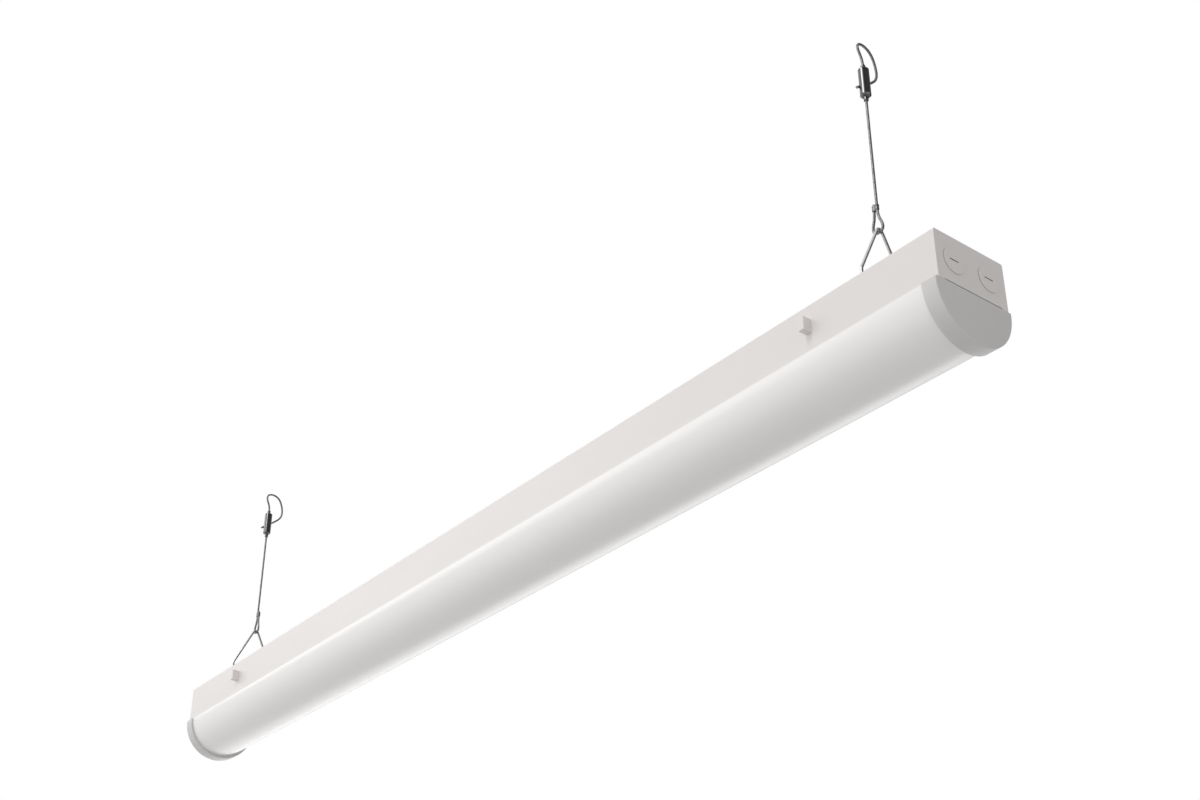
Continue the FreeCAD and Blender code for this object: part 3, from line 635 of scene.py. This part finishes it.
def run_recipe(tree: bpy.types.NodeTree, source: bpy.types.Object, values: dict[str, Any], name: str,
               smooth_angle: float = SMOOTH_ANGLE) -> bpy.types.Object:
    """Runs a tree on an object and bakes the result.

    Args:
        tree: the Geometry Nodes tree.
        source: the object that it works on, removed here.
        values: input name to value.
        name: the new object's name.
        smooth_angle: edges sharper than this many degrees stay sharp.

    Returns:
        The new object.
    """
    step = source.modifiers.new("recipe", "NODES")
    step.node_group = tree
    sockets = {s.name: s.identifier for s in tree.interface.items_tree if s.in_out == "INPUT"}
    for key, value in values.items():
        step[sockets[key]] = value
    made = applied(name, source)
    smooth(made.data, smooth_angle)
    return made


def bent_wire_recipe() -> bpy.types.NodeTree:
    """A round wire along a chain of edges; the point attribute bend_radius rounds each corner."""
    recipe = Recipe("bent_wire", {"Diameter": "NodeSocketFloat", "Sides": "NodeSocketInt",
                                  "Steps": "NodeSocketInt", "Material": "NodeSocketMaterial"})
    curve = recipe.node("GeometryNodeMeshToCurve", None, {0: recipe.given("Geometry")}).outputs[0]
    radius = recipe.signal("GeometryNodeInputNamedAttribute", {"data_type": "FLOAT"}, {"Name": "bend_radius"})
    values = {"Curve": curve, "Radius": radius, "Limit Radius": False, "Count": recipe.given("Steps")}
    bend = recipe.node("GeometryNodeFilletCurve", {"mode": "POLY"}, values)
    return recipe.sweep(bend.outputs[0], recipe.ring(recipe.given("Sides")))


def wire_rope_recipe() -> bpy.types.NodeTree:
    """A laid rope along a curve: one lobed section that turns once for each pitch of length."""
    recipe = Recipe("wire_rope", {"Diameter": "NodeSocketFloat", "Sides": "NodeSocketInt",
                                  "Pitch": "NodeSocketFloat", "Strands": "NodeSocketFloat",
                                  "Groove": "NodeSocketFloat", "Step": "NodeSocketFloat",
                                  "Material": "NodeSocketMaterial"})
    values = {"Curve": recipe.given("Geometry"), "Length": recipe.given("Step")}
    path = recipe.node("GeometryNodeResampleCurve", {"mode": "LENGTH"}, values).outputs[0]
    along = recipe.signal("GeometryNodeSplineParameter", output="Length")
    tilt = along / recipe.given("Pitch") * (2 * math.pi)
    laid = recipe.node("GeometryNodeSetCurveTilt", None, {"Curve": path, "Tilt": tilt}).outputs[0]
    spot = recipe.node("GeometryNodeInputPosition").outputs[0]
    x, y, _ = recipe.split(spot)
    crest = abs((y.bearing(x) * (recipe.given("Strands") * 0.5)).sine())
    share = 1 - recipe.given("Groove") * (1 - crest)
    lobed = recipe.node("ShaderNodeVectorMath", {"operation": "SCALE"}, {0: spot, "Scale": share}).outputs[0]
    values = {"Geometry": recipe.ring(recipe.given("Sides")), "Position": lobed}
    section = recipe.node("GeometryNodeSetPosition", None, values).outputs[0]
    return recipe.sweep(laid, section)


# ---- the suspension --------------------------------------------------------------------------
@dataclass
class Hanger:
    """One end's suspension: V-hook, cable with eye and loop, ferrule, gripper and plunger."""

    side: Side
    inset_x: float = 528.7 * MM
    hook_wire: float = 2.7 * MM
    hook_sides: int = 28
    hook_steps: int = 14
    foot_z: float = -2.45 * MM
    foot_half: float = 25.0 * MM
    foot_length: float = 9.0 * MM
    foot_bend: float = 1.6 * MM
    shoulder_z: float = 15.2 * MM
    shoulder_bend: float = 8.0 * MM
    apex_z: float = 62.3 * MM
    apex_bend: float = 3.0 * MM
    cable: float = 2.4 * MM
    cable_length: float = 0.304
    lay_pitch: float = 15.0 * MM
    lay_strands: float = 6.0
    lay_groove: float = 0.1
    lay_step: float = 0.45 * MM
    lay_sides: int = 36
    lay_smooth: float = 80.0
    route_steps: int = 24
    route_order: int = 3
    ferrule_z: float = 80.8 * MM
    ferrule_height: float = 5.6 * MM
    ferrule_wall: float = 0.6 * MM
    ferrule_waist: float = 0.5 * MM
    ferrule_steps: int = 12
    ferrule_smooth: float = 40.0
    waist_steps: int = 8
    eye_gap: float = 3.1 * MM
    grip_z: float = 196.1 * MM
    grip_height: float = 29.6 * MM
    grip_radius: float = 4.7 * MM
    grip_chamfer: float = 1.4 * MM
    grip_edge: float = 0.25 * MM
    grip_steps: int = 64
    nose_radius: float = 2.1 * MM
    nose_height: float = 4.2 * MM
    plunger_proud: float = 3.8 * MM
    plunger_foot: float = 2.5 * MM
    plunger_travel: float = 2.5 * MM
    plunger_edge: float = 0.4 * MM
    plunger_neck: float = 0.25 * MM
    plunger_neck_z: tuple[float, float, float, float] = (0.8 * MM, 1.1 * MM, 1.5 * MM, 1.8 * MM)
    plunger_steps: int = 40
    bore_radius: float = 1.35 * MM
    return_offset: float = 2.9 * MM
    return_slope: float = 14.0 / 18.9
    return_z: float = 209.7 * MM
    return_steps: int = 32

    # The cable's route in millimetres. The eye: towards the light's end, across the light, up.
    EYE_ROUTE = [(-3.1, 0.0, 87.4), (-3.1, 0.0, 75.6), (-6.2, 0.0, 66.6), (-5.2, 0.0, 59.45),
                 (3.4, 0.0, 59.45), (4.6, 0.0, 65.2), (0.0, 0.0, 76.0)]
    # The straight run and the loop: towards the left end on both hangers, across the light, up.
    TOP_ROUTE = [(0.0, 0.0, 90.0), (0.0, 0.0, 222.0), (0.0, 0.0, 235.8), (0.1, -4.8, 245.8),
                 (0.5, -3.4, 252.4), (1.2, 5.0, 255.0), (1.9, 14.0, 251.4), (2.5, 19.2, 240.0),
                 (2.8, 19.8, 227.2), (2.9, 10.0, 217.1), (2.9, -6.8, 204.6)]
    LEAN_ROUNDS = 20

    @property
    def x(self) -> float:
        """The hanger's place along the light."""
        return self.side.value * self.inset_x

    @property
    def axis_foot(self) -> Vector:
        """The point of the hanger's vertical axis at the channel's back."""
        return Vector((self.x, 0.0, 0.0))

    def outward(self, dx: float, y: float, z: float) -> Vector:
        """A point given from the hanger, its first value towards the light's end."""
        return Vector((self.side.value * (self.inset_x + dx), y, z))

    def build(self, jaws: bpy.types.Object) -> None:
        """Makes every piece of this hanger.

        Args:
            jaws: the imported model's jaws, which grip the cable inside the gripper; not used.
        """
        word = self.side.word
        stand_for(self.make_hook(), f"v_hook_{word}", f"v_hook_{word}", "nickel_wire")
        ferrule, gripper, plunger = self.make_ferrule(), self.make_gripper(), self.make_plunger()
        stand_for(ferrule, f"ferrule_{word}", f"hanger_{word}", "ferrule_metal")
        stand_for(gripper, f"gripper_body_{word}", f"hanger_{word}", "gripper_metal")
        stand_for(plunger, f"release_plunger_{word}", f"release_{word}", "gripper_metal")
        self.make_cable()

    def make_hook(self) -> bpy.types.Object:
        """The V-hook: one bright wire, bent at its feet, shoulders and top."""
        bend_z = self.apex_z - self.apex_bend
        rise = bend_z - self.shoulder_z
        lean = math.atan2(self.foot_half, rise + self.apex_bend)
        # The legs' lean and the corner over the top bend depend on each other.
        for _ in range(self.LEAN_ROUNDS):
            lean = math.atan2(self.foot_half, rise + self.apex_bend / math.sin(lean))
        tip_z = bend_z + self.apex_bend / math.sin(lean)
        half = [(self.foot_half + self.foot_length, self.foot_z, 0.0),
                (self.foot_half, self.foot_z, self.foot_bend),
                (self.foot_half, self.shoulder_z, self.shoulder_bend),
                (0.0, tip_z, self.apex_bend)]
        points = half + [(-y, z, r) for y, z, r in half[-2::-1]]
        edges = [(i, i + 1) for i in range(len(points) - 1)]
        mesh = bpy.data.meshes.new("hook_line")
        mesh.from_pydata([(self.x, y, z) for y, z, _ in points], edges, [])
        radii = mesh.attributes.new("bend_radius", "FLOAT", "POINT")
        radii.data.foreach_set("value", [r for _, _, r in points])
        values = {"Diameter": self.hook_wire, "Sides": self.hook_sides, "Steps": self.hook_steps,
                  "Material": Finish.of("nickel_wire")}
        return run_recipe(bent_wire_recipe(), show("hook_line", mesh), values, f"hook_wire_{self.side.word}")

    def route_curve(self) -> bpy.types.Object:
        """The cable's centre line as one smooth spline."""
        curve = bpy.data.curves.new("cable_line", "CURVE")
        curve.dimensions = "3D"
        curve.resolution_u = self.route_steps
        spline = curve.splines.new("NURBS")
        route = [self.outward(out * MM, y * MM, z * MM) for out, y, z in self.EYE_ROUTE]
        route += [Vector((self.x - left * MM, y * MM, z * MM)) for left, y, z in self.TOP_ROUTE]
        spline.points.add(len(route) - 1)
        for point, place in zip(spline.points, route):
            point.co = (*place, 1.0)
        spline.order_u = self.route_order
        spline.use_endpoint_u = True
        return show("cable_line", curve)

    def make_cable(self) -> None:
        """The laid steel rope, from its eye at the V-hook.
        """
        line = self.route_curve()
        depsgraph = bpy.context.evaluated_depsgraph_get()
        sampled = bpy.data.meshes.new_from_object(line.evaluated_get(depsgraph))
        bpy.data.meshes.remove(sampled)
        values = {"Diameter": self.cable, "Sides": self.lay_sides, "Pitch": self.lay_pitch,
                  "Strands": self.lay_strands, "Groove": self.lay_groove, "Step": self.lay_step,
                  "Material": Finish.of("wire_rope")}
        rope = run_recipe(wire_rope_recipe(), line, values, f"wire_rope_{self.side.word}", self.lay_smooth)
        stand_for(rope, f"cable_{self.side.word}", f"hanger_{self.side.word}", "wire_rope")
        tuple(self.outward(0.0, 0.0, self.apex_z))

    def make_ferrule(self) -> bpy.types.Object:
        """The crimped sleeve: an oval tube with rolled ends and a pressed waist."""
        radius = self.cable / 2 + self.ferrule_wall
        # Share of the height, and of the girth there.
        stations = [(0.0, 0.78), (0.05, 0.93), (0.12, 1.0), (0.3, 1.0), (0.38, 0.94),
                    (0.62, 0.94), (0.7, 1.0), (0.88, 1.0), (0.95, 0.93), (1.0, 0.78)]
        rings = []
        for share, girth in stations:
            z = self.ferrule_z + share * self.ferrule_height
            r = radius * girth
            waist = [(-self.eye_gap * t, r - self.ferrule_waist * math.sin(math.pi * t) ** 2)
                     for t in (k / self.waist_steps for k in range(1, self.waist_steps))]
            outline = arc((0.0, 0.0), r, -90, 90, self.ferrule_steps) + waist
            outline += arc((-self.eye_gap, 0.0), r, 90, 270, self.ferrule_steps)
            outline += [(x, -y) for x, y in reversed(waist)]
            rings.append([self.outward(x, y, z) for x, y in outline])
        return finish_mesh(f"crimp_sleeve_{self.side.word}", loft(rings), self.ferrule_smooth)

    def make_gripper(self) -> bpy.types.Object:
        """The gripper's barrel: turned, chamfered, with a nose below and the rope's sloping port."""
        low = self.grip_z
        high = self.grip_z + self.grip_height
        tip = low - self.nose_height
        bore, nose, r, c, edge = (self.bore_radius, self.nose_radius, self.grip_radius, self.grip_chamfer,
                                  self.grip_edge)
        socket = nose + edge / 2
        socket_z = high - self.plunger_foot - self.plunger_travel - edge
        profile = [(bore, tip), (nose - edge, tip), (nose, tip + edge),
                   (nose, low - edge), (nose + edge, low),
                   (r - c, low), (r - edge, low + c - edge), (r, low + c),
                   (r, high - c), (r - edge, high - c + edge), (r - c, high),
                   (socket, high), (socket, socket_z), (bore, socket_z)]
        barrel = finish_mesh("barrel", turned(profile, self.axis_foot, self.grip_steps))
        direction = Vector((0.0, 1.0, self.return_slope)).normalized()
        centre = Vector((self.x - self.return_offset, 0.0, self.return_z))
        turn = direction.to_track_quat("Z", "Y").to_matrix().to_4x4()
        place = Matrix.Translation(centre) @ turn
        drill = bmesh.new()
        bmesh.ops.create_cone(drill, cap_ends=True, segments=self.return_steps, radius1=bore, radius2=bore,
                              depth=8 * r, matrix=place)
        return cut_away(barrel, [finish_mesh("drill", drill)], f"gripper_barrel_{self.side.word}")

    def make_plunger(self) -> bpy.types.Object:
        """The release plunger: a thin turned sleeve, with a neck and a chamfered rim above the barrel."""
        high = self.grip_z + self.grip_height
        top = high + self.plunger_proud
        foot = high - self.plunger_foot
        bore, nose, edge = self.bore_radius, self.nose_radius, self.plunger_edge
        neck_radii = (nose, nose - self.plunger_neck, nose - self.plunger_neck, nose)
        neck = [(radius, high + z) for radius, z in zip(neck_radii, self.plunger_neck_z)]
        profile = [(bore, foot), (nose, foot), *neck, (nose, top - edge), (nose - edge, top), (bore, top)]
        mesh_edit = turned(profile, self.axis_foot, self.plunger_steps)
        return finish_mesh(f"plunger_nose_{self.side.word}", mesh_edit)


# ---- lens and end caps -----------------------------------------------------------------------
@dataclass
class Diffuser:
    """The opal lens with its tray grooves, and the two D-shaped end caps."""

    half_length: float = 609.5 * MM
    mouth_z: float = -42.0 * MM
    top_z: float = -42.1 * MM
    radius: float = 39.5 * MM
    wall: float = 1.5 * MM
    lip: float = 4.5 * MM
    groove_top_z: float = -43.6 * MM
    groove_foot_z: float = -44.8 * MM
    rib: float = 1.0 * MM
    cap_radius: float = 41.3 * MM
    cap_drop: float = 1.5 * MM
    cap_inner: float = 39.7 * MM
    cap_skirt: float = 13.5 * MM
    cap_face: float = 1.6 * MM
    cap_edge: float = 0.8 * MM
    cap_corner: float = 1.2 * MM
    lens_end_gap: float = 1.8 * MM
    arc_steps: int = 96
    length_steps: int = 48
    lens_smooth: float = 30.0
    cap_steps: int = 72
    corner_steps: int = 8
    edge_steps: int = 6
    core_over: float = 5 * MM

    def build(self) -> None:
        """Makes the lens and both caps."""
        stand_for(self.make_lens(), "lens", "cover", "opal_diffuser")
        for side in Side:
            stand_for(self.make_cap(side), f"lens_cap_{side.word}", "cover", "white_moulding")

    def lens_outline(self) -> list[Flat]:
        """The lens's section as (y, z) points: outer arc, then lip, groove, rib, inner arc and back."""
        inner = self.radius - self.wall
        drop = self.mouth_z - self.top_z
        tip = inner - self.lip
        start = math.degrees(math.asin(drop / self.radius))
        outer = arc((0.0, self.mouth_z), self.radius, 180 + start, 360 - start, self.arc_steps)
        rib_z = self.groove_foot_z - self.rib
        at_top = math.sqrt(inner ** 2 - (self.mouth_z - self.groove_top_z) ** 2)
        at_foot = math.sqrt(inner ** 2 - (self.mouth_z - self.groove_foot_z) ** 2)
        below = math.degrees(math.asin((self.mouth_z - rib_z) / inner))
        right = [(tip, self.top_z), (tip, self.groove_top_z), (at_top, self.groove_top_z),
                 (at_foot, self.groove_foot_z), (tip, self.groove_foot_z), (tip, rib_z)]
        back = arc((0.0, self.mouth_z), inner, 360 - below, 180 + below, self.arc_steps)
        return outer + right + back + [(-y, z) for y, z in reversed(right)]

    def make_lens(self) -> bpy.types.Object:
        """The extruded lens."""
        outline = self.lens_outline()
        reach = self.half_length - self.lens_end_gap
        rings = []
        for k in range(self.length_steps + 1):
            x = -reach + 2 * reach * k / self.length_steps
            rings.append([Vector((x, y, z)) for y, z in outline])
        return finish_mesh("opal_lens", loft(rings), self.lens_smooth)

    def cap_outline(self, inset: float) -> list[Flat]:
        """The cap's D outline, drawn in by inset save at its top: round below, with upright sides."""
        radius = self.cap_radius - inset
        corner = self.cap_corner - inset
        corner_z = self.top_z - corner
        left = arc((corner - radius, corner_z), corner, 90, 180, self.corner_steps)
        right = arc((radius - corner, corner_z), corner, 0, 90, self.corner_steps)
        return left + arc((0.0, self.mouth_z - self.cap_drop), radius, 180, 360, self.cap_steps) + right

    def make_cap(self, side: Side) -> bpy.types.Object:
        """One end cap: the D-shaped block with a rounded face edge, hollowed for the lens."""
        sign = side.value
        rim_x = self.half_length - self.cap_skirt
        rings = [[Vector((sign * rim_x, y, z)) for y, z in self.cap_outline(0.0)]]
        for k in range(self.edge_steps + 1):
            turn = math.pi / 2 * k / self.edge_steps
            x = self.half_length - self.cap_edge + self.cap_edge * math.sin(turn)
            inset = self.cap_edge * (1 - math.cos(turn))
            rings.append([Vector((sign * x, y, z)) for y, z in self.cap_outline(inset)])
        block = finish_mesh("cap_block", loft(rings))
        ends = (rim_x - self.core_over, self.half_length - self.cap_face)
        core_top = self.mouth_z + self.core_over
        hollow = arc((0.0, self.mouth_z), self.cap_inner, 180, 360, self.arc_steps)
        hollow += [(self.cap_inner, core_top), (-self.cap_inner, core_top)]
        core = finish_mesh("cap_core", loft([[Vector((sign * x, y, z)) for y, z in hollow] for x in ends]))
        return cut_away(block, [core], f"end_cap_{side.word}")


# ---- carried-over pieces ---------------------------------------------------------------------
@dataclass(frozen=True)
class EndPlate:
    """Where an end plate's knockouts are: their sheared edges are bare metal."""

    knockout_radius: float = 11.1 * MM
    spacing: float = 37.8 * MM
    centre_z: float = -21.0 * MM
    margin: float = 0.3 * MM
    edge_on: float = 0.5

    def bare(self, face: bpy.types.MeshPolygon) -> bool:
        """Whether a face is part of a sheared edge."""
        reach = math.hypot(abs(face.center.y) - self.spacing / 2, face.center.z - self.centre_z)
        return abs(face.normal.x) < self.edge_on and reach < self.knockout_radius + self.margin

    def dress(self, plate: bpy.types.Object) -> None:
        """Adds the bare metal to a painted plate."""
        plate.data.materials.append(Finish.of("bare_edge"))
        bare_slot = len(plate.data.materials) - 1
        for face in plate.data.polygons:
            if self.bare(face):
                face.material_index = bare_slot


def dress_nodes(frame: dict[str, Any]) -> None:
    """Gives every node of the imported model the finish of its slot.
    """
    for part in frame["record"]["subparts"]:
        node = frame["nodes"][part["node"]]
        if node.data.materials:
            for slot in node.material_slots:
                slot.material = Finish.of(part["material_slot"])
        else:
            node.data.materials.append(Finish.of(part["material_slot"]))
        if part["node"].startswith("end_plate"):
            EndPlate().dress(node)


# ---- studio ----------------------------------------------------------------------------------
@dataclass(frozen=True)
class SoftBox:
    """A rectangular lamp that faces the light; the camera doesn't see it."""

    name: str
    place: Point
    size: Flat
    radiance: float

    def build(self) -> None:
        """Adds the lamp."""
        lamp = bpy.data.lights.new(self.name, "AREA")
        lamp.shape = "RECTANGLE"
        lamp.size, lamp.size_y = self.size
        lamp.energy = self.radiance * math.pi * self.size[0] * self.size[1]
        made = show(self.name, lamp)
        made.location = self.place
        made.rotation_euler = (-Vector(self.place)).to_track_quat("-Z", "Y").to_euler()
        made.visible_camera = False


@dataclass
class Studio:
    """Pale floor, white surroundings, soft boxes, a flag for the bright metal, and the camera."""

    floor_z: float = -1.7
    floor_radius: float = 3.9
    floor_color: Color = (0.84, 0.84, 0.84)
    floor_steps: int = 96
    floor_fade: Span = (1.8, 4.0)
    dull: float = 0.9
    room_light: float = 0.39
    wall_light: float = 0.38
    front_light: float = 1.2
    wall_edge: Span = (0.1, 0.26)
    front_side: Span = (-0.75, 0.1)
    front_foot: Span = (0.07, 0.27)
    front_top: Span = (0.2, 0.45)
    flag_radius: float = 3.0
    flag_color: Color = (0.22, 0.22, 0.22)
    flag_sweep: Span = (-50.0, 100.0)
    flag_rise: Span = (-1.1, 3.6)
    flag_steps: int = 40
    boxes: tuple[SoftBox, ...] = (SoftBox("front_box", (-2.16, -1.69, 1.22), (2.3, 1.17), 1.52),
                                  SoftBox("back_box", (-2.29, 1.76, -0.6), (3.46, 1.6), 0.78),
                                  SoftBox("strip_box", (0.5, -2.2, 2.1), (1.0, 1.4), 5.5))

    CAMERA_PLACE = (1.183856, -0.784535, -0.678)
    CAMERA_RIGHT = (0.61898318, 0.78539863, -0.00297056)
    CAMERA_DOWN = (-0.36438625, 0.28382306, -0.88694257)
    CAMERA_AHEAD = (-0.69576036, 0.55008496, 0.46187016)
    CAMERA_RANGE = (0.01, 100.0)
    SENSOR = 36.0
    FOCAL = 47.139
    SHIFT = (-0.010603, 0.065730)

    def build(self) -> None:
        """Makes the whole studio."""
        self.make_floor()
        self.make_flag()
        self.make_world()
        for box in self.boxes:
            box.build()
        self.make_camera()

    def set_stage(self, name: str, mesh_edit: bmesh.types.BMesh, color: Color,
                  fade: Span | None = None) -> bpy.types.Object:
        """Adds a dull one-coloured piece of the studio.

        Args:
            name: the piece's name.
            mesh_edit: its geometry, freed here.
            color: its colour.
            fade: the distances from the light over which the piece fades to white, where it is seen.

        Returns:
            The new object.
        """
        mesh = bpy.data.meshes.new(name)
        mesh_edit.to_mesh(mesh)
        mesh_edit.free()
        piece = show(name, mesh)
        graph = SurfaceGraph(f"{name}_paint")
        graph.surface(base_color=color, roughness=self.dull)
        if fade:
            place = {0: graph.place()}
            distance = graph.signal("ShaderNodeVectorMath", {"operation": "LENGTH"}, place, "Value")
            white = graph.slope(distance, *fade) * graph.seen()
            graph.surface(base_color=graph.mixed(white, color, (0.0, 0.0, 0.0)))
            graph.surface(emission_color=(1.0, 1.0, 1.0), emission_strength=white)
        mesh.materials.append(graph.material)
        return piece

    def make_floor(self) -> None:
        """A round pale floor far below the light, whose rim fades into the white surroundings."""
        disc = bmesh.new()
        bmesh.ops.create_circle(disc, cap_ends=True, segments=self.floor_steps, radius=self.floor_radius,
                                matrix=Matrix.Translation((0.0, 0.0, self.floor_z)))
        self.set_stage("floor", disc, self.floor_color, self.floor_fade)

    def make_flag(self) -> None:
        """A dark curved card that only reflections see, so that bright wire keeps a dark edge."""
        low, high = self.flag_rise
        rim = arc((0.0, 0.0), self.flag_radius, *self.flag_sweep, self.flag_steps)
        rings = [[Vector((x, y, z)) for x, y in rim] for z in (low, high)]
        card = loft(rings, closed_ring=False, caps=False)
        flag = self.set_stage("flag", card, self.flag_color)
        flag.visible_camera = flag.visible_diffuse = flag.visible_shadow = False

    def make_world(self) -> None:
        """Plain white to the camera and in reflections; lights the object from the front and the walls."""
        world = bpy.data.worlds.new("studio")
        bpy.context.scene.world = world
        world.use_nodes = True
        graph = Graph(world.node_tree)
        _, y, z = graph.split(graph.node("ShaderNodeTexCoord").outputs["Generated"])
        wall = 1 - graph.slope(z, *self.wall_edge)
        front = (1 - graph.slope(y, *self.front_side)) * graph.slope(z, *self.front_foot)
        front = front * (1 - graph.slope(z, *self.front_top))
        light = wall * self.wall_light + front * self.front_light + self.room_light
        seen = graph.seen()
        strength = seen + light * (1 - seen)
        values = {"Color": (1.0, 1.0, 1.0), "Strength": strength}
        backdrop = graph.node("ShaderNodeBackground", None, values)
        graph.node("ShaderNodeOutputWorld", None, {"Surface": backdrop.outputs[0]})

    def make_camera(self) -> None:
        """The camera, fitted to the photograph's perspective."""
        data = bpy.data.cameras.new("camera")
        data.lens = self.FOCAL
        data.sensor_width = self.SENSOR
        data.shift_x, data.shift_y = self.SHIFT
        data.clip_start, data.clip_end = self.CAMERA_RANGE
        camera = show("camera", data)
        turn = Matrix((self.CAMERA_RIGHT, [-v for v in self.CAMERA_DOWN], [-v for v in self.CAMERA_AHEAD]))
        camera.matrix_world = Matrix.Translation(Vector(self.CAMERA_PLACE)) @ turn.transposed().to_4x4()
        bpy.context.scene.camera = camera


def main() -> None:
    """Builds the dressed light and its studio."""
    logging.basicConfig(level=logging.INFO, format="%(name)s: %(message)s")
    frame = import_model()
    bpy.context.scene.view_settings.view_transform = "Standard"
    Studio().build()
    for side in Side:
        Hanger(side).build(frame["nodes"][f"grip_jaws_{side.word}"])
    Diffuser().build()
    dress_nodes(frame)


if __name__ == "__main__":
    main()
